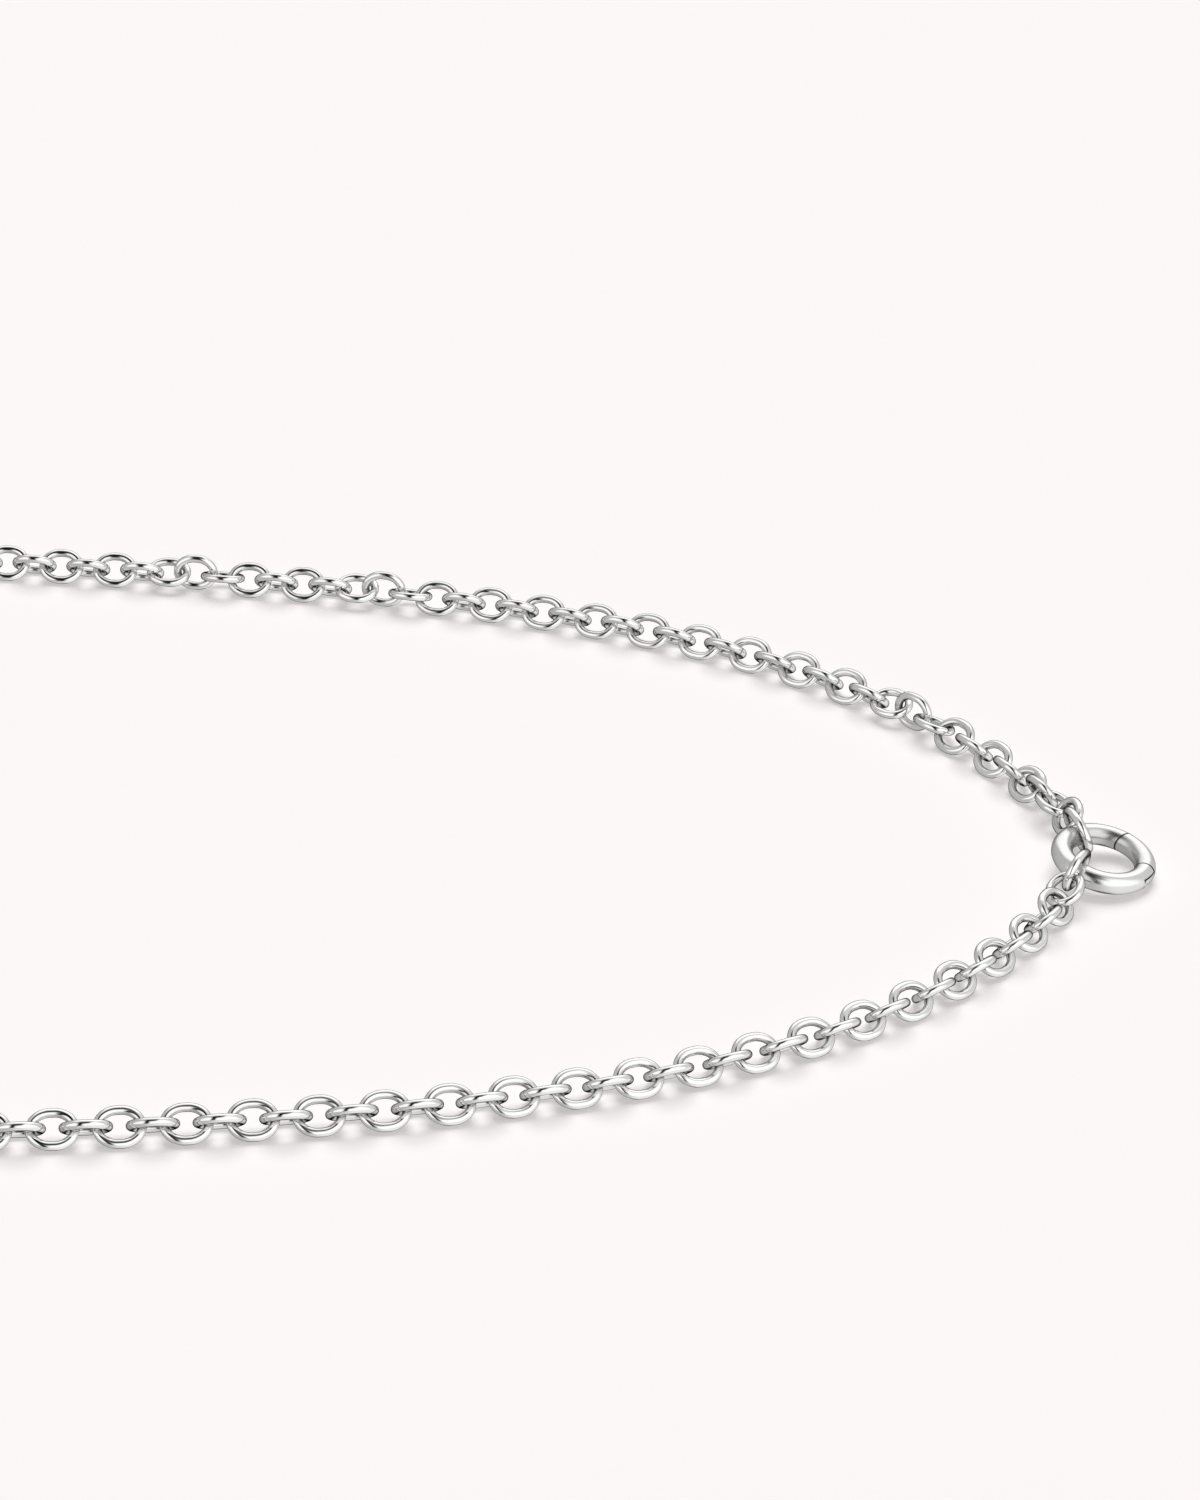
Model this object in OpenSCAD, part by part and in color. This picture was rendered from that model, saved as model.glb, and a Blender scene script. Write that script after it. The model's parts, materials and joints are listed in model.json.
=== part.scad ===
/* [Chain] */
// Thickness of the round wire that every link is bent from
wire_d = 0.87; // [0.82:0.01:0.87]
// Length of a link over its ends
link_l = 5.06; // [5.06:0.01:5.1]
// Width of a link over its sides
link_w = 4.2; // [4.2:0.01:4.25]
// Distance from the middle of one link to the middle of the next
link_pitch = 3.1; // [3.09:0.01:3.11]
// Most that a link's lean differs from its neighbours' pattern, in degrees
lean_spread = 2; // [0:0.5:2]
// Links in the arc behind the neck, an even number, so that the pattern closes
back_links = 68; // [68:2:72]

/* [End links] */
// Length of the two links that are looped round the ring
end_link_l = 5.8; // [5.8:0.01:5.84]
// Width of these two links
end_link_w = 4.8; // [4.8:0.01:4.86]

/* [Ring] */
// Radius of the ring, to the middle of its tube
ring_r = 4.4; // [4.38:0.01:4.4]
// Radius of the ring's tube
tube_r = 1.12; // [1.08:0.01:1.12]
// Lift of the ring's far side, in degrees
ring_tip = 4.2; // [4:0.1:4.4]
// Lift of the ring's side by the chain, in degrees
ring_lean = 8.6; // [8.4:0.1:8.8]

/* [Gate] */
// Angle round the ring of the straight seam by the hinge
hinge_seam = -17; // [-18:0.5:-16]
// Angle round the ring of the slanted seam, where the gate shuts
latch_seam = 56; // [55:0.5:57]
// Direction of the slanted seam across the ring, in degrees
latch_slant = 35.5; // [33:0.5:38]
// Width of both seams
seam_gap = 0.08; // [0.06:0.01:0.1]
// Angle round the ring of the hinge pin
pin_angle = -38; // [-39:0.5:-37]
// Distance of the hinge pin from the middle of the ring
pin_reach = 4.98; // [4.94:0.01:5]
// Thickness of the hinge pin
pin_d = 0.34; // [0.3:0.01:0.36]
// Length of the hinge pin
pin_l = 1.5; // [1.4:0.01:1.52]
// Height of the gate's hinge lug
lug_h = 1; // [0.9:0.01:1.02]

/* [Hidden] */
$fn = 40;

// Middle of the ring, in the frame whose origin is under the middle of the necklace
RING_AT = [90.4, 0.74];
ring_z = tube_r + ring_r * sqrt(1 - pow(cos(ring_tip) * cos(ring_lean), 2));
RING_CENTRE = [RING_AT[0], RING_AT[1], ring_z];

// Each strand as rows of [links, turn after each link in degrees], outward from the ring
NEAR_START = [-3.06, -3.83];
NEAR_HEADING = 248;
NEAR_TURNS = [[6, -3.2], [8, -2.25], [8, -1.6], [8, -0.9], [8, -0.45]];
FAR_START = [-2.12, 4.1];
FAR_HEADING = 107.6;
FAR_TURNS = [[6, 3.4], [6, 2.4], [8, 2.25], [8, 1.25], [9, 0.55], [8, 0.25]];

// Lean of a link's width from upright, for links that face forward and links on edge
NEAR_LEANS = [-54, 47];
FAR_LEANS = [-46, 43];
// Three links at a time where the far strand rolls over, by the first link's number
FAR_ROLLS = [9, 30, 37];
ROLL_LEANS = [70, -5, -70];
ROLL_Z = [1.72, 1.62, 1.84];
near_rest_z = 1.5;
far_rest_z = 1.62;

// Links by the ring, from its middle: [x, y, z, heading, climb, lean]
NEAR_FIRST = 2;
NEAR_BY_RING = [[-4.47, -6.79, 0.16, 257, -14, 72]];
NEAR_END = [-3.1, -3.65, 0.66, 248, 19, 15];
FAR_FIRST = 4;
FAR_BY_RING = [
    [-5.57, 13.04, 0.34, 117, -7, 29],
    [-4.35, 10.41, 0.44, 112, 2, 77],
    [-3.23, 7.49, 0.59, 102, 0, -36]
];
FAR_END = [-2.4, 4.36, 0.77, 114, 10, 18];

// The hinge: its fits, the lug's knuckle and neck, and the slot that the lug lies in
pin_fit = 0.01;
bore_fit = 0.03;
lug_r = 0.52;
lug_inner = 4.56;
slot_gap = 0.07;
slot_room = 0.12;
// The body's end face leans back from here outward, so that the gate's corner can swing
relief_from = 4.5;
relief_angle = 12;

// Sizes that only have to reach past the ring's tube
past_tube = 3;
past_seam = 8;
seam_turn = seam_gap / ring_r * 180 / PI;

// The route, worked out from the rows above

function turns(rows) = [for (row = rows, i = [1:row[0]]) row[1]];

// Sum of the first n entries of a list
function sum(list, n, i = 0) = i >= n ? 0 : list[i] + sum(list, n, i + 1);

// Steps [x, y] from one link to the next along a strand
function steps(heading, list) =
    [for (k = [0:len(list) - 1]) let (way = heading + sum(list, k)) link_pitch * [cos(way), sin(way)]];

function add(list, n, i = 0) = i >= n ? [0, 0] : list[i] + add(list, n, i + 1);

// Link k of a strand as [x, y, heading]
function strand_link(start, heading, list, k) =
    let (at = start + add(steps(heading, list), k), way = heading + sum(list, k) - list[max(k, 1) - 1] / 2)
    [at[0], at[1], way];

near_turns = turns(NEAR_TURNS);
far_turns = turns(FAR_TURNS);
near_last = strand_link(NEAR_START, NEAR_HEADING, near_turns, len(near_turns));
far_last = strand_link(FAR_START, FAR_HEADING, far_turns, len(far_turns));

// The arc behind the neck is tangent to both strands, whose lines cross at the front
near_way = near_last[2];
far_way = far_last[2];
near_dir = [cos(near_way), sin(near_way)];
far_dir = [cos(far_way), sin(far_way)];
between = [far_last[0] - near_last[0], far_last[1] - near_last[1]];
cross_dirs = near_dir[0] * far_dir[1] - near_dir[1] * far_dir[0];
near_from_cross = -(between[0] * far_dir[1] - between[1] * far_dir[0]) / cross_dirs;
far_from_cross = -(between[0] * near_dir[1] - between[1] * near_dir[0]) / cross_dirs;
half_open = (near_way - far_way) / 2;
arc_turn = 180 + 2 * half_open;
back_length = (back_links + 1) * link_pitch;
arc_start = (back_length + near_from_cross + far_from_cross) / (2 + tan(half_open) * arc_turn * PI / 180);
arc_r = arc_start * tan(half_open);
near_straight = arc_start - near_from_cross;
arc_length = arc_r * arc_turn * PI / 180;
arc_at = [near_last[0], near_last[1]] + near_straight * near_dir;
arc_centre = arc_at + arc_r * [near_dir[1], -near_dir[0]];

// Place at a distance along the hidden stretch, as [x, y, heading]
function back_place(s) =
    s < near_straight
    ? [near_last[0] + s * near_dir[0], near_last[1] + s * near_dir[1], near_way]
    : s < near_straight + arc_length
    ? let (way = near_way - (s - near_straight) / arc_r * 180 / PI)
      [arc_centre[0] - arc_r * sin(way), arc_centre[1] + arc_r * cos(way), way]
    : let (left = back_length - s)
      [far_last[0] + left * far_dir[0], far_last[1] + left * far_dir[1], far_way + 180];

// Small steady differences in lean, so that no two links lie quite alike
near_spread = rands(-lean_spread, lean_spread, 200, 7);
far_spread = rands(-lean_spread, lean_spread, 200, 11);

function rolled_before(k) = len([for (first = FAR_ROLLS) if (k > first + 1) first]);
function in_roll(k) = [for (first = FAR_ROLLS) if (k >= first && k < first + 3) k - first];
function near_lean(k) = NEAR_LEANS[k % 2] + near_spread[k];
function far_lean(k) =
    len(in_roll(k)) > 0
    ? ROLL_LEANS[in_roll(k)[0]]
    : FAR_LEANS[(k + rolled_before(k)) % 2] + far_spread[k];

function far_z(k) = len(in_roll(k)) > 0 ? ROLL_Z[in_roll(k)[0]] : far_rest_z;

// Height of a link's middle: the strand's own, or higher where the link stands on its edge
function link_z(lean, rest_z) = max(rest_z, (link_w - wire_d) / 2 * abs(cos(lean)) + wire_d / 2);

// Pieces

// An oval link of round wire about the origin, its length along X and its width along Y
module oval_link(length, width) {
    bend_r = (width - wire_d) / 2;
    side = length - width;
    for (turn = [0, 180]) rotate([0, 0, turn]) {
        translate([side / 2, 0, 0])
            rotate([0, 0, -90])
                rotate_extrude(angle = 180) translate([bend_r, 0]) circle(d = wire_d);
        translate([-side / 2, bend_r, 0]) rotate([0, 90, 0]) cylinder(d = wire_d, h = side);
    }
}

// Sets a link down: its length runs along the heading and its width leans from upright
module set_link(x, y, z, heading, climb, lean) {
    translate([x, y, z])
        rotate([0, 0, heading])
            rotate([0, -climb, 0])
                rotate([90 - lean, 0, 0])
                    children();
}

module chain_link(place, lean, rest_z) {
    set_link(place[0], place[1], link_z(lean, rest_z), place[2], 0, lean)
        oval_link(link_l, link_w);
}

module by_ring(row) {
    translate(RING_CENTRE)
        set_link(row[0], row[1], row[2], row[3], row[4], row[5])
            children();
}

// The ring's tube, from one angle to another
module ring_arc(from, to) {
    rotate([0, 0, from])
        rotate_extrude(angle = to - from) translate([ring_r, 0]) circle(r = tube_r);
}

// A block round the tube, from one angle to another
module round_tube(from, to, inner, h) {
    rotate([0, 0, from])
        rotate_extrude(angle = to - from)
            translate([inner, -h / 2]) square([ring_r + past_tube - inner, h]);
}

module ring_place() {
    translate(RING_CENTRE) rotate([ring_tip, 0, 0]) rotate([0, ring_lean, 0]) children();
}

// All that lies on one side of the slanted seam: 1 is the ring's side and -1 the gate's
module beside_latch(side, off) {
    rotate([0, 0, latch_seam])
        translate([ring_r, 0, 0])
            rotate([0, 0, latch_slant - latch_seam])
                translate([-past_tube, side > 0 ? off : off - past_tube, -past_tube])
                    cube([2 * past_tube, past_tube, 2 * past_tube]);
}

module at_pin() {
    rotate([0, 0, pin_angle]) translate([pin_reach, 0, 0]) children();
}

// The lug's form, or with a gap its slot's: a round knuckle, and a neck that reaches the gate
module lug_form(knuckle_gap, neck_gap, h) {
    at_pin() cylinder(r = lug_r + knuckle_gap, h = h, center = true);
    round_tube(pin_angle, hinge_seam + 1, lug_inner - neck_gap, h);
}

// Sub-parts

module near_chain() color("silver") {
    for (row = NEAR_BY_RING) by_ring(row) oval_link(link_l, link_w);
    for (k = [NEAR_FIRST:len(near_turns)])
        translate([RING_AT[0], RING_AT[1], 0])
            chain_link(strand_link(NEAR_START, NEAR_HEADING, near_turns, k), near_lean(k), near_rest_z);
    for (i = [1:back_links / 2])
        translate([RING_AT[0], RING_AT[1], 0])
            chain_link(back_place(i * link_pitch), near_lean(len(near_turns) + i), near_rest_z);
}

module far_chain() color("silver") {
    for (row = FAR_BY_RING) by_ring(row) oval_link(link_l, link_w);
    for (k = [FAR_FIRST:len(far_turns)])
        translate([RING_AT[0], RING_AT[1], 0])
            chain_link(strand_link(FAR_START, FAR_HEADING, far_turns, k), far_lean(k), far_z(k));
    for (i = [1:back_links / 2])
        translate([RING_AT[0], RING_AT[1], 0])
            chain_link(back_place(back_length - i * link_pitch) + [0, 0, 180],
                       far_lean(len(far_turns) + i), far_rest_z);
}

module near_end_link() color("silver") by_ring(NEAR_END) oval_link(end_link_l, end_link_w);

module far_end_link() color("silver") by_ring(FAR_END) oval_link(end_link_l, end_link_w);

module ring_body() color("gainsboro") ring_place() difference() {
    ring_arc(latch_seam - past_seam, 360 + hinge_seam - seam_turn);
    beside_latch(-1, seam_gap);
    lug_form(slot_room, slot_room, lug_h + 2 * slot_gap);
    rotate([0, 0, hinge_seam - seam_turn])
        translate([relief_from, 0, 0])
            rotate([0, 0, -relief_angle])
                translate([0, 0, -past_tube]) cube([past_tube, 1, 2 * past_tube]);
    at_pin() cylinder(d = pin_d + 2 * pin_fit, h = pin_l + 2 * pin_fit, center = true);
}

module ring_gate() color("gainsboro") ring_place() difference() {
    ring_arc(pin_angle - past_seam, latch_seam + past_seam);
    beside_latch(1, 0);
    difference() {
        round_tube(pin_angle - 2 * past_seam, hinge_seam, ring_r - tube_r - 1, 2 * past_tube);
        lug_form(0, 0, lug_h);
    }
    at_pin() cylinder(d = pin_d + 2 * bore_fit, h = 2 * past_tube, center = true);
}

module hinge_pin() color("silver") ring_place() at_pin() cylinder(d = pin_d, h = pin_l, center = true);

near_chain();
far_chain();
near_end_link();
far_end_link();
ring_body();
ring_gate();
hinge_pin();
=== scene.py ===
import json
import math

import bpy
import numpy as np
from mathutils import Matrix, Vector


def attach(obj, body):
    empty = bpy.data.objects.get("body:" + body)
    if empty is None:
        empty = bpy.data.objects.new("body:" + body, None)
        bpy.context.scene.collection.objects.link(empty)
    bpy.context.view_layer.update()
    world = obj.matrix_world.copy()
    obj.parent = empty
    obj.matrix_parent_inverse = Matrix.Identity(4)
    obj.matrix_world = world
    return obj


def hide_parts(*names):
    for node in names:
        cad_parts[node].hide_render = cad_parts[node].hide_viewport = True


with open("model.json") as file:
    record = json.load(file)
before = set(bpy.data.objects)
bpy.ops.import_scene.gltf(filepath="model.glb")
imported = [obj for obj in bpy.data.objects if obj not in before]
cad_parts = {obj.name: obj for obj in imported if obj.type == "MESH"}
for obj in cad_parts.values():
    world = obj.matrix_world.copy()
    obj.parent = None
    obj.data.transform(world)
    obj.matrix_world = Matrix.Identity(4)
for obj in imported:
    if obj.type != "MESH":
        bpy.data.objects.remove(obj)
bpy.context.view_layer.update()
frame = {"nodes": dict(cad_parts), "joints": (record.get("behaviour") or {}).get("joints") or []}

MM = 0.001

# Sizes of the links and the ring as in the part, in millimetres and degrees
LINK_SIZE = (5.06, 4.2)
END_LINK_SIZE = (5.8, 4.8)
RING_R = 4.4
TUBE_R = 1.12
RING_TIP = 4.2
RING_LEAN = 8.6
PIN_ANGLE = -38
PIN_REACH = 4.98
LATCH_SEAM = 56
LATCH_SLANT = 35.5
HINGE_SEAM = -17
SEAM_GAP = 0.08
# The hinge lug's height and its reach past the hinge seam, both to the middle of the gap round it
LUG_H = 1.07
LUG_REACH = 2.25

# The links' wire, the points along a link and round its wire, and the grid on which points of the CAD are one
WIRE_D = 0.89
PATH_POINTS = 52
WIRE_SIDES = 24
SAME_POINT = 0.001 * MM
# How far an oval link is from an ellipse (0) toward straight sides with round ends (1)
LINK_SQUARENESS = 0.35
# Step that spreads the links' tones evenly between 0 and 1
TONE_STEP = 0.618034

# Silver: the grain and detail of its haze, what the haze does to its tint and roughness, and the depth of its
# scratches. Grain is per metre.
HAZE_SCALE = 420
HAZE_DETAIL = 3
HAZE_TINT = 0.96
HAZE_ROUGHNESS = (0.75, 1.3)
SCRATCH_DEPTH = 0.02 * MM
# How much of the light the links and the ring send back at a grazing angle
LINK_EDGE = 0.02
RING_EDGE = 0.45

# Tarnish and painted shade: their colour and the roughness they add, the painted shade's strength inside the
# links' bends, and the tarnish's strength on some whole links
TARNISH_AND_SHADE_TINT = (0.09, 0.085, 0.08)
TARNISH_AND_SHADE_ROUGHNESS = 0.2
PAINTED_BEND_SHADE = 0.7
LINK_TARNISH = 0.08
# The painted shade's share along the straights' inner side, where it is 1 inside a bend, and how quickly it
# leaves the bend
STRAIGHT_SHARE = 0.4
BEND_POWER = 6
# The painted shade on the ring's inner side: its strength, and how far in from the tube's middle line it is
# full and where it ends, in millimetres
PAINTED_INNER_SHADE = 0.28
INNER_FULL = 0.9
INNER_END = 0.1
# The seams' tarnish: its fade across a seam, in millimetres from the seam's middle, and the depths below the
# tube's surface between which it comes in
SEAM_FADE = (0.05, 0.13)
SEAM_DEPTH = (0.17, 0.07)
# The latch seam's fade, in millimetres from the tube's middle line, and how softly the lug's lines end
LATCH_FADE = (2, 2.3)
LUG_FADE = 0.1
# How softly the lines at the hinge come in on the tube's outer side, and on the half of the ring that has
# the hinge
OUTER_FADE = 0.2
HALF_FADE = (0, 1)

# The light tent by direction: x to the right, y to the back, z up. The brightness of its walls and of what
# lies below the horizon, at the left and the right, and the values between which one turns into the other.
WALLS = dict(left=0.5, right=0.68, turn=(-0.5, 0.5))
BELOW = dict(left=0.5, right=0.88, turn=(-0.4, 0.4))
HORIZON = (-0.1, 0.05)
# Soft boxes and dark patches, with the values between which each comes in or goes out. Aside is how far x is
# from the patch's middle.
BACK_BOX = dict(strength=0.6, y_in=(0.2, 0.45), aside_out=(0.35, 0.6), z_in=(0.1, 0.25), z_out=(0.88, 0.98))
BACK_MIDDLE = 0.02
FRONT_BOX = dict(strength=0.5, y_out=(-0.25, 0.05), x_in=(-0.05, 0.12), z_out=(0.86, 0.97))
LEFT_BOX = dict(strength=0.55, y_out=(-0.35, -0.05), x_out=(-0.45, -0.28), z_out=(0.7, 0.9))
TOP_DARK = dict(strength=0.86, z_in=(0.65, 0.81), y_out=(-0.08, 0.1), aside_out=(0.15, 0.42))
TOP_MIDDLE = -0.05
LOW_BACK_DARK = dict(strength=0.93, y_in=(-0.2, 0.25), aside_out=(0.05, 0.2))
# The dark gap by the camera, with its middle's x, the y past which that moves to the right, and how quickly
CAMERA_GAP = dict(strength=0.97, aside_out=(0.05, 0.19), y_out=(-0.05, 0.12), z_in=(-0.5, 0.1))
GAP_MIDDLE = -0.17
GAP_TURN_Y = -0.45
GAP_TURN = 0.6

# The floor: half its side in metres, its colour and brightness, and its grain
FLOOR_HALF = 5
FLOOR_TINT = (1.0, 0.964, 0.956)
FLOOR_TONE = 0.8
FLOOR_GLOW = 0.36
FLOOR_ROUGHNESS = 0.8
GRAIN_SCALE = 30
GRAIN_TONE = 0.004

# Lamps behind the necklace: their power, and their height and spread in degrees
KEY = dict(power=1.95, height=58, spread=45)
FILL = dict(power=0.75, height=80, spread=90)

# The photograph's camera: its view down and roll in degrees, its lens, and its place in millimetres, as its
# height and its way from the middle of the ring, across and along the floor
CAMERA_DOWN = 29
CAMERA_ROLL = 2.21
LENS = 111.6
SENSOR = 36
NEAREST = 0.01
CAMERA_HEIGHT = 242.9
CAMERA_FROM_RING = (-52.43, -415.87)


# Geometry helpers

def components(obj):
    """The triangles of each loose solid of a CAD node, in metres."""
    mesh = obj.data
    mesh.calc_loop_triangles()
    points = np.empty(len(mesh.vertices) * 3)
    mesh.vertices.foreach_get("co", points)
    points = points.reshape(-1, 3)
    faces = np.empty(len(mesh.loop_triangles) * 3, dtype=np.int64)
    mesh.loop_triangles.foreach_get("vertices", faces)
    faces = faces.reshape(-1, 3)
    _, label = np.unique(np.round(points / SAME_POINT).astype(np.int64), axis=0, return_inverse=True)
    label = label.ravel()
    parent = np.arange(label.max() + 1)
    ends = label[faces]
    while True:
        low = parent[ends].min(axis=1)
        new = parent.copy()
        for column in range(3):
            np.minimum.at(new, ends[:, column], low)
        new = new[new]
        if (new == parent).all():
            break
        parent = new
    group = parent[ends[:, 0]]
    return [points[faces[group == g]] for g in np.unique(group)]


def link_frame(triangles):
    """Middle and the length, width and normal directions of one link, from its surface."""
    cross = np.cross(triangles[:, 1] - triangles[:, 0], triangles[:, 2] - triangles[:, 0])
    area = np.linalg.norm(cross, axis=1)
    middle = triangles.mean(axis=1)
    centre = (middle * area[:, None]).sum(axis=0) / area.sum()
    off = middle - centre
    _, axes = np.linalg.eigh((off * area[:, None]).T @ off)
    length, width = axes[:, 2], axes[:, 1]
    return centre, length, width, np.cross(length, width)


def oval(size):
    """Points and outward normals round the middle line of an oval link, in its own plane."""
    a, b = (size[0] - WIRE_D) / 2, (size[1] - WIRE_D) / 2
    turn = np.linspace(0, 2 * math.pi, PATH_POINTS, endpoint=False) + math.pi / PATH_POINTS
    c, s = np.cos(turn), np.sin(turn)
    ellipse = np.stack([a * a * c, b * b * s], axis=1) / np.sqrt((a * c) ** 2 + (b * s) ** 2)[:, None]
    stadium = np.stack([np.sign(c) * (a - b) + b * c, b * s], axis=1)
    return (1 - LINK_SQUARENESS) * ellipse + LINK_SQUARENESS * stadium, np.stack([c, s], axis=1)


def link_mesh(size):
    """Vertices in the link's own frame, quads, and the share of painted shade at each vertex, of one wire
    link.
    """
    line, out = oval(size)
    around = np.linspace(0, 2 * math.pi, WIRE_SIDES, endpoint=False)
    radius = WIRE_D / 2
    verts = np.empty((PATH_POINTS, WIRE_SIDES, 3))
    verts[:, :, :2] = line[:, None] + out[:, None] * (radius * np.cos(around))[None, :, None]
    verts[:, :, 2] = (radius * np.sin(around))[None]
    i, j = np.meshgrid(np.arange(PATH_POINTS), np.arange(WIRE_SIDES), indexing="ij")
    next_i, next_j = (i + 1) % PATH_POINTS * WIRE_SIDES, (j + 1) % WIRE_SIDES
    here = i * WIRE_SIDES
    quads = np.stack([here + j, next_i + j, next_i + next_j, here + next_j], axis=-1).reshape(-1, 4)
    # Painted shade: the wire is darkened on its inner side, most inside the bends where the next link hangs
    inside = np.maximum(-np.cos(around), 0) ** 2
    bend_shade = inside[None] * (STRAIGHT_SHARE + (1 - STRAIGHT_SHARE) * np.abs(out[:, :1]) ** BEND_POWER)
    return verts.reshape(-1, 3), quads, bend_shade.ravel()


def new_object(name, verts, quads, material):
    """A smooth object of quads, in metres."""
    mesh = bpy.data.meshes.new(name)
    mesh.vertices.add(len(verts))
    mesh.vertices.foreach_set("co", np.asarray(verts, dtype=np.float32).ravel())
    mesh.loops.add(quads.size)
    mesh.loops.foreach_set("vertex_index", quads.astype(np.int32).ravel())
    mesh.polygons.add(len(quads))
    mesh.polygons.foreach_set("loop_start", np.arange(0, quads.size, 4, dtype=np.int32))
    mesh.polygons.foreach_set("use_smooth", np.ones(len(quads), dtype=bool))
    mesh.update(calc_edges=True)
    mesh.validate()
    mesh.materials.append(material)
    obj = bpy.data.objects.new(name, mesh)
    bpy.context.scene.collection.objects.link(obj)
    return obj


def chain_piece(name, node, size, material):
    """Smooth wire links in the places of a CAD node's links, as one mesh."""
    shape, quads, bend_shade = link_mesh(size)
    verts, faces, tone = [], [], []
    for k, triangles in enumerate(components(frame["nodes"][node])):
        centre, length, width, normal = link_frame(triangles)
        verts.append(centre + shape * MM @ np.stack([length, width, normal]))
        faces.append(quads + k * len(shape))
        tone.append(np.full(len(shape), k * TONE_STEP % 1.0))
    obj = new_object(name, np.concatenate(verts), np.concatenate(faces), material)
    # The second attribute carries the painted shade on the links' inner side; link_tone gives each link a
    # random tone
    for label, values in (("link_tone", np.concatenate(tone)), ("bend_shade", np.tile(bend_shade, len(tone)))):
        layer = obj.data.attributes.new(label, "FLOAT", "POINT")
        layer.data.foreach_set("value", values.astype(np.float32))
    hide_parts(node)
    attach(obj, "necklace")


# Materials

class NodeMath:
    """Short calls for the nodes of one node tree."""

    def __init__(self, tree):
        self.nodes, self.links = tree.nodes, tree.links

    def feed(self, socket, value):
        if isinstance(value, bpy.types.NodeSocket):
            self.links.new(value, socket)
        else:
            socket.default_value = value

    def coords(self, kind):
        return self.nodes.new("ShaderNodeTexCoord").outputs[kind]

    def attribute(self, name):
        node = self.nodes.new("ShaderNodeAttribute")
        node.attribute_name = name
        return node.outputs["Fac"]

    def split(self, vector):
        node = self.nodes.new("ShaderNodeSeparateXYZ")
        self.links.new(vector, node.inputs["Vector"])
        return node.outputs["X"], node.outputs["Y"], node.outputs["Z"]

    def noise(self, vector, scale, detail=2):
        node = self.nodes.new("ShaderNodeTexNoise")
        self.links.new(vector, node.inputs["Vector"])
        node.inputs["Scale"].default_value = scale
        node.inputs["Detail"].default_value = detail
        return node.outputs["Fac"]

    def blend(self, share, start, end):
        """A colour that goes from start to end as share goes from 0 to 1."""
        node = self.nodes.new("ShaderNodeMix")
        node.data_type = "RGBA"
        for name, value in (("Factor", share), ("A", start), ("B", end)):
            self.feed(node.inputs[name], value)
        return node.outputs["Result"]

    def math(self, operation, *values):
        node = self.nodes.new("ShaderNodeMath")
        node.operation = operation
        for socket, value in zip(node.inputs, values):
            self.feed(socket, value)
        return node.outputs["Value"]

    def times(self, first, *others):
        for value in others:
            first = self.math("MULTIPLY", first, value)
        return first

    def plus(self, first, *others):
        for value in others:
            first = self.math("ADD", first, value)
        return first

    def most(self, first, *others):
        for value in others:
            first = self.math("MAXIMUM", first, value)
        return first

    def less(self, value):
        """What is left of 1."""
        return self.math("SUBTRACT", 1, value)

    def size(self, value):
        return self.math("ABSOLUTE", value)

    def distance(self, x, y):
        return self.math("SQRT", self.plus(self.times(x, x), self.times(y, y)))

    def rise(self, value, low, high):
        """0 below low, 1 above high and smooth between them."""
        node = self.nodes.new("ShaderNodeMapRange")
        node.interpolation_type = "SMOOTHSTEP"
        for name, source in (("Value", value), ("From Min", low), ("From Max", high)):
            self.feed(node.inputs[name], source)
        return node.outputs["Result"]

    def fall(self, value, low, high):
        return self.less(self.rise(value, low, high))


def ring_tilt():
    """The ring's lean on the floor."""
    tip, lean = math.radians(RING_TIP), math.radians(RING_LEAN)
    return Matrix.Rotation(tip, 3, "X") @ Matrix.Rotation(lean, 3, "Y")


def round_ring(angle, reach):
    """A point in the ring's own plane, in millimetres, from its angle round the ring."""
    return Vector((math.cos(math.radians(angle)), math.sin(math.radians(angle)), 0)) * reach


def ring_centre():
    """Middle of the ring, in metres, from the gate's hinge."""
    joint = next(j for j in frame["joints"] if j["name"] == "gate_hinge")
    return Vector(joint["pos_m"]) - ring_tilt() @ round_ring(PIN_ANGLE, PIN_REACH) * MM


def in_ring(m):
    """The coordinates of a point in the ring's own frame, in millimetres."""
    place = m.nodes.new("ShaderNodeMapping")
    place.vector_type = "TEXTURE"
    place.inputs["Location"].default_value = ring_centre()
    place.inputs["Rotation"].default_value = ring_tilt().to_euler()
    place.inputs["Scale"].default_value = (MM, MM, MM)
    m.links.new(m.coords("Object"), place.inputs["Vector"])
    return m.split(place.outputs["Vector"])


def link_tarnish_and_shade(m):
    """Painted shade on the links' inner side, most where the next link hangs, and a little tarnish on some
    whole links.
    """
    # Painted shade inside the links' bends and along their inner side
    inside = m.times(PAINTED_BEND_SHADE, m.attribute("bend_shade"))
    return m.plus(inside, m.times(LINK_TARNISH, m.attribute("link_tone")))


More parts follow.
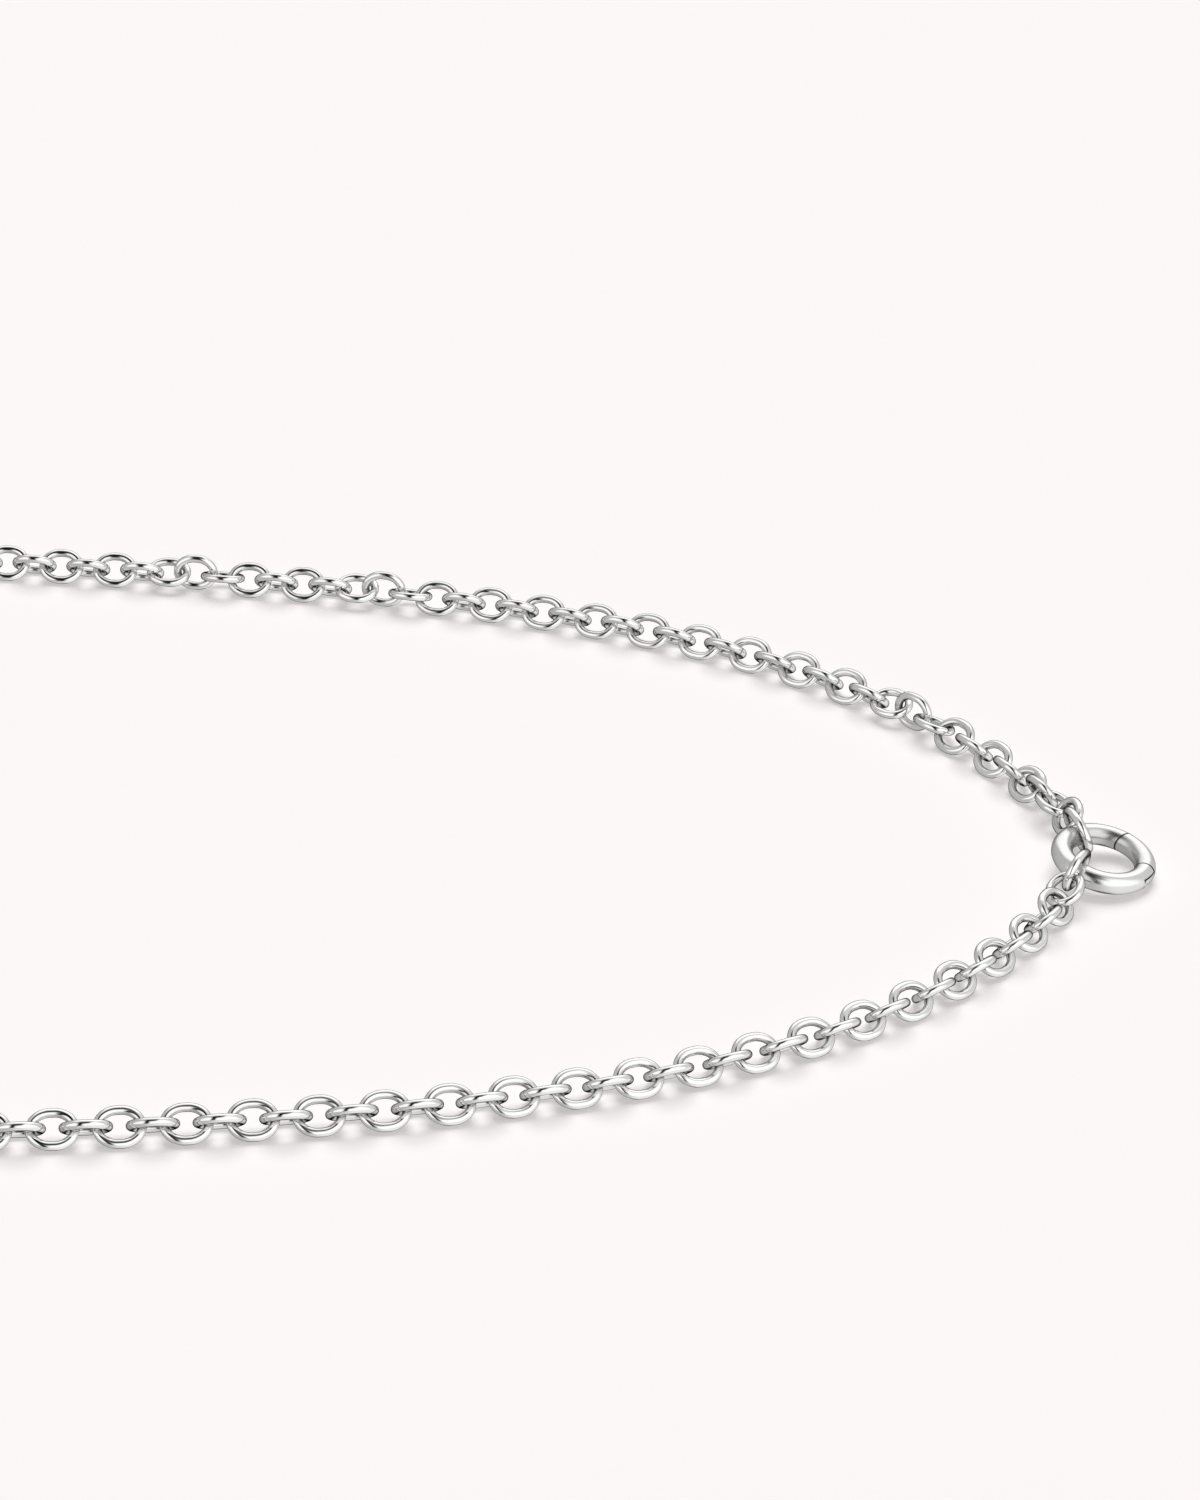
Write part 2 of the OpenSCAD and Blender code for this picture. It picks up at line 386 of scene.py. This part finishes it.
def ring_tarnish_and_shade(m):
    """Tarnish along the gate's two seams and round its lug, and painted shade on the ring's inner side."""
    x, y, z = in_ring(m)

    def past(middle, angle):
        """How far a point is past the line through middle in the direction of angle."""
        across = round_ring(angle + 90, 1)
        return m.plus(m.times(across.x, x), m.times(across.y, y), -across.dot(middle))

    def line(offset):
        return m.fall(m.size(offset), *SEAM_FADE)

    latch = round_ring(LATCH_SEAM, RING_R)
    from_latch = m.distance(m.plus(x, -latch.x), m.plus(y, -latch.y))
    past_latch = past(latch, LATCH_SLANT)
    latch_line = m.times(line(m.plus(past_latch, -SEAM_GAP / 2)), m.fall(from_latch, *LATCH_FADE))

    reach, height = m.distance(x, y), m.size(z)
    past_hinge = past(Vector(), HINGE_SEAM)
    before_hinge = m.times(-1, past_hinge)
    hinge_half = m.rise(x, *HALF_FADE)
    outer_side = m.rise(reach, RING_R, RING_R + OUTER_FADE)
    hinge_line = m.times(line(m.plus(past_hinge, SEAM_GAP / 2)), hinge_half)
    lug_start = m.rise(before_hinge, 0, LUG_FADE)
    beside_lug = m.times(m.fall(before_hinge, LUG_REACH, LUG_REACH + LUG_FADE), lug_start)
    lug_sides = m.times(line(m.plus(height, -LUG_H / 2)), beside_lug, outer_side, hinge_half)
    behind_lug = m.fall(height, LUG_H / 2, LUG_H / 2 + LUG_FADE)
    lug_end = m.times(line(m.plus(past_hinge, LUG_REACH)), behind_lug, outer_side, hinge_half)

    from_middle = m.distance(m.plus(reach, -RING_R), z)
    at_surface = m.rise(from_middle, TUBE_R - SEAM_DEPTH[0], TUBE_R - SEAM_DEPTH[1])
    seams = m.times(m.most(latch_line, hinge_line, lug_sides, lug_end), at_surface)
    # Painted shade on the ring's inner side, full toward the hole
    return m.most(seams, m.times(PAINTED_INNER_SHADE, m.fall(reach, RING_R - INNER_FULL, RING_R - INNER_END)))


def silver(name, tint, edge, roughness, scratch_scale, bump, tarnish_and_shade):
    """Polished silver: fine scratches, slight haze, a tint that varies, and darkening that is partly tarnish
    and partly painted shade.
    """
    material = bpy.data.materials.new(name)
    material.use_nodes = True
    m = NodeMath(material.node_tree)
    shader = m.nodes["Principled BSDF"]
    shader.inputs["Metallic"].default_value = 1.0
    shader.inputs["Specular Tint"].default_value = (edge, edge, edge, 1)
    coords = m.coords("Object")
    haze = m.noise(coords, HAZE_SCALE, HAZE_DETAIL)
    stain_and_shade = tarnish_and_shade(m)
    rough = m.nodes.new("ShaderNodeMapRange")
    rough.inputs["To Min"].default_value = roughness * HAZE_ROUGHNESS[0]
    rough.inputs["To Max"].default_value = roughness * HAZE_ROUGHNESS[1]
    m.feed(rough.inputs["Value"], haze)
    m.feed(shader.inputs["Roughness"], m.plus(rough.outputs["Result"], m.times(TARNISH_AND_SHADE_ROUGHNESS, stain_and_shade)))
    clean = m.blend(haze, (*[HAZE_TINT * t for t in tint], 1), (*tint, 1))
    # Darkened toward the dark tint where there is tarnish or painted shade
    m.feed(shader.inputs["Base Color"], m.blend(stain_and_shade, clean, (*TARNISH_AND_SHADE_TINT, 1)))
    relief = m.nodes.new("ShaderNodeBump")
    relief.inputs["Strength"].default_value = bump
    relief.inputs["Distance"].default_value = SCRATCH_DEPTH
    m.feed(relief.inputs["Height"], m.noise(coords, scratch_scale))
    m.feed(shader.inputs["Normal"], relief.outputs["Normal"])
    return material


def chain_silver():
    return silver("chain_silver_polish", tint=(0.98, 0.975, 0.97), edge=LINK_EDGE, roughness=0.05,
                  scratch_scale=1800, bump=0.12, tarnish_and_shade=link_tarnish_and_shade)


def ring_silver():
    return silver("ring_silver_satin", tint=(0.895, 0.89, 0.885), edge=RING_EDGE, roughness=0.2,
                  scratch_scale=2600, bump=0.15, tarnish_and_shade=ring_tarnish_and_shade)


def pin_silver():
    return silver("pin_silver_plain", tint=(0.85, 0.845, 0.84), edge=RING_EDGE, roughness=0.25,
                  scratch_scale=2600, bump=0.15, tarnish_and_shade=ring_tarnish_and_shade)


# Pieces

def make_chain():
    material = chain_silver()
    chain_piece("near_links", "near_chain", LINK_SIZE, material)
    chain_piece("far_links", "far_chain", LINK_SIZE, material)
    chain_piece("near_end_loop", "near_end_link", END_LINK_SIZE, material)
    chain_piece("far_end_loop", "far_end_link", END_LINK_SIZE, material)


def finish_ring():
    """The ring's finish on its CAD nodes."""
    ring = ring_silver()
    for node, material in (("ring_body", ring), ("ring_gate", ring), ("hinge_pin", pin_silver())):
        mesh = frame["nodes"][node].data
        mesh.materials.clear()
        mesh.materials.append(material)


# Floor, light and camera

def floor_material():
    """A pale matt table with a faint, even grain."""
    material = bpy.data.materials.new("pale_floor")
    material.use_nodes = True
    m = NodeMath(material.node_tree)
    shader = m.nodes["Principled BSDF"]
    shader.inputs["Roughness"].default_value = FLOOR_ROUGHNESS
    shader.inputs["Specular IOR Level"].default_value = 0
    grain = m.noise(m.coords("Generated"), GRAIN_SCALE)
    dark = [(FLOOR_TONE - GRAIN_TONE) * t for t in FLOOR_TINT]
    pale = [(FLOOR_TONE + GRAIN_TONE) * t for t in FLOOR_TINT]
    m.feed(shader.inputs["Base Color"], m.blend(grain, (*dark, 1), (*pale, 1)))
    shader.inputs["Emission Color"].default_value = (*FLOOR_TINT, 1)
    shader.inputs["Emission Strength"].default_value = FLOOR_GLOW
    return material


def make_floor():
    half = FLOOR_HALF
    corners = [(-half, -half, 0), (half, -half, 0), (half, half, 0), (-half, half, 0)]
    floor = new_object("floor", np.array(corners), np.array([[0, 1, 2, 3]]), floor_material())
    floor.visible_glossy = False


def patch(m, direction, strength, middle=0, **edges):
    """A soft-edged patch of the tent, as strong as strength where all its edges have come in."""
    result = strength
    for edge, bounds in edges.items():
        axis, way = edge.split("_")
        value = m.size(m.math("SUBTRACT", direction["x"], middle)) if axis == "aside" else direction[axis]
        result = m.times(result, m.rise(value, *bounds) if way == "in" else m.fall(value, *bounds))
    return result


def left_to_right(m, x, left, right, turn):
    """The tent's own brightness, which goes from left to right as x crosses turn."""
    return m.plus(left, m.times(right - left, m.rise(x, *turn)))


def make_world():
    """A light tent: soft boxes behind, at the front right and at the left, with a dark gap by the camera."""
    world = bpy.data.worlds.new("studio")
    bpy.context.scene.world = world
    world.use_nodes = True
    world.cycles_visibility.diffuse = False
    m = NodeMath(world.node_tree)
    x, y, z = m.split(m.coords("Generated"))
    direction = {"x": x, "y": y, "z": z}

    boxes = [patch(m, direction, middle=BACK_MIDDLE, **BACK_BOX), patch(m, direction, **FRONT_BOX),
             patch(m, direction, **LEFT_BOX)]
    gap_middle = m.plus(GAP_MIDDLE, m.times(GAP_TURN, m.most(m.plus(y, -GAP_TURN_Y), 0)))
    gap = patch(m, direction, middle=gap_middle, **CAMERA_GAP)
    top = patch(m, direction, middle=TOP_MIDDLE, **TOP_DARK)
    above = m.times(m.plus(left_to_right(m, x, **WALLS), *boxes), m.less(gap), m.less(top))
    below = m.times(left_to_right(m, x, **BELOW), m.less(patch(m, direction, **LOW_BACK_DARK)))
    horizon = m.rise(z, *HORIZON)
    light = m.plus(m.times(above, horizon), m.times(below, m.less(horizon)))

    background = m.nodes["Background"]
    background.inputs["Color"].default_value = (1, 1, 1, 1)
    m.feed(background.inputs["Strength"], light)


def make_lamp(name, power, height, spread):
    """A soft lamp behind the necklace, seen by the floor but not in the metal."""
    light = bpy.data.lights.new(name, "SUN")
    light.angle = math.radians(spread)
    light.energy = power
    obj = bpy.data.objects.new(name, light)
    bpy.context.scene.collection.objects.link(obj)
    down = math.radians(height)
    obj.rotation_euler = Vector((0, -math.cos(down), -math.sin(down))).to_track_quat("-Z", "Y").to_euler()
    obj.visible_glossy = False


def make_camera():
    camera = bpy.data.cameras.new("camera")
    camera.lens = LENS
    camera.sensor_width = SENSOR
    camera.clip_start = NEAREST
    obj = bpy.data.objects.new("camera", camera)
    bpy.context.scene.collection.objects.link(obj)
    middle = ring_centre()
    across, along = CAMERA_FROM_RING
    place = Vector((middle.x + across * MM, middle.y + along * MM, CAMERA_HEIGHT * MM))
    down, roll = math.radians(90 - CAMERA_DOWN), math.radians(CAMERA_ROLL)
    turn = Matrix.Rotation(down, 4, "X") @ Matrix.Rotation(roll, 4, "Z")
    obj.matrix_world = Matrix.Translation(place) @ turn
    bpy.context.scene.camera = obj


make_chain()
finish_ring()
make_floor()
make_world()
make_lamp("key", **KEY)
make_lamp("fill", **FILL)
make_camera()
bpy.context.scene.view_settings.view_transform = "Standard"
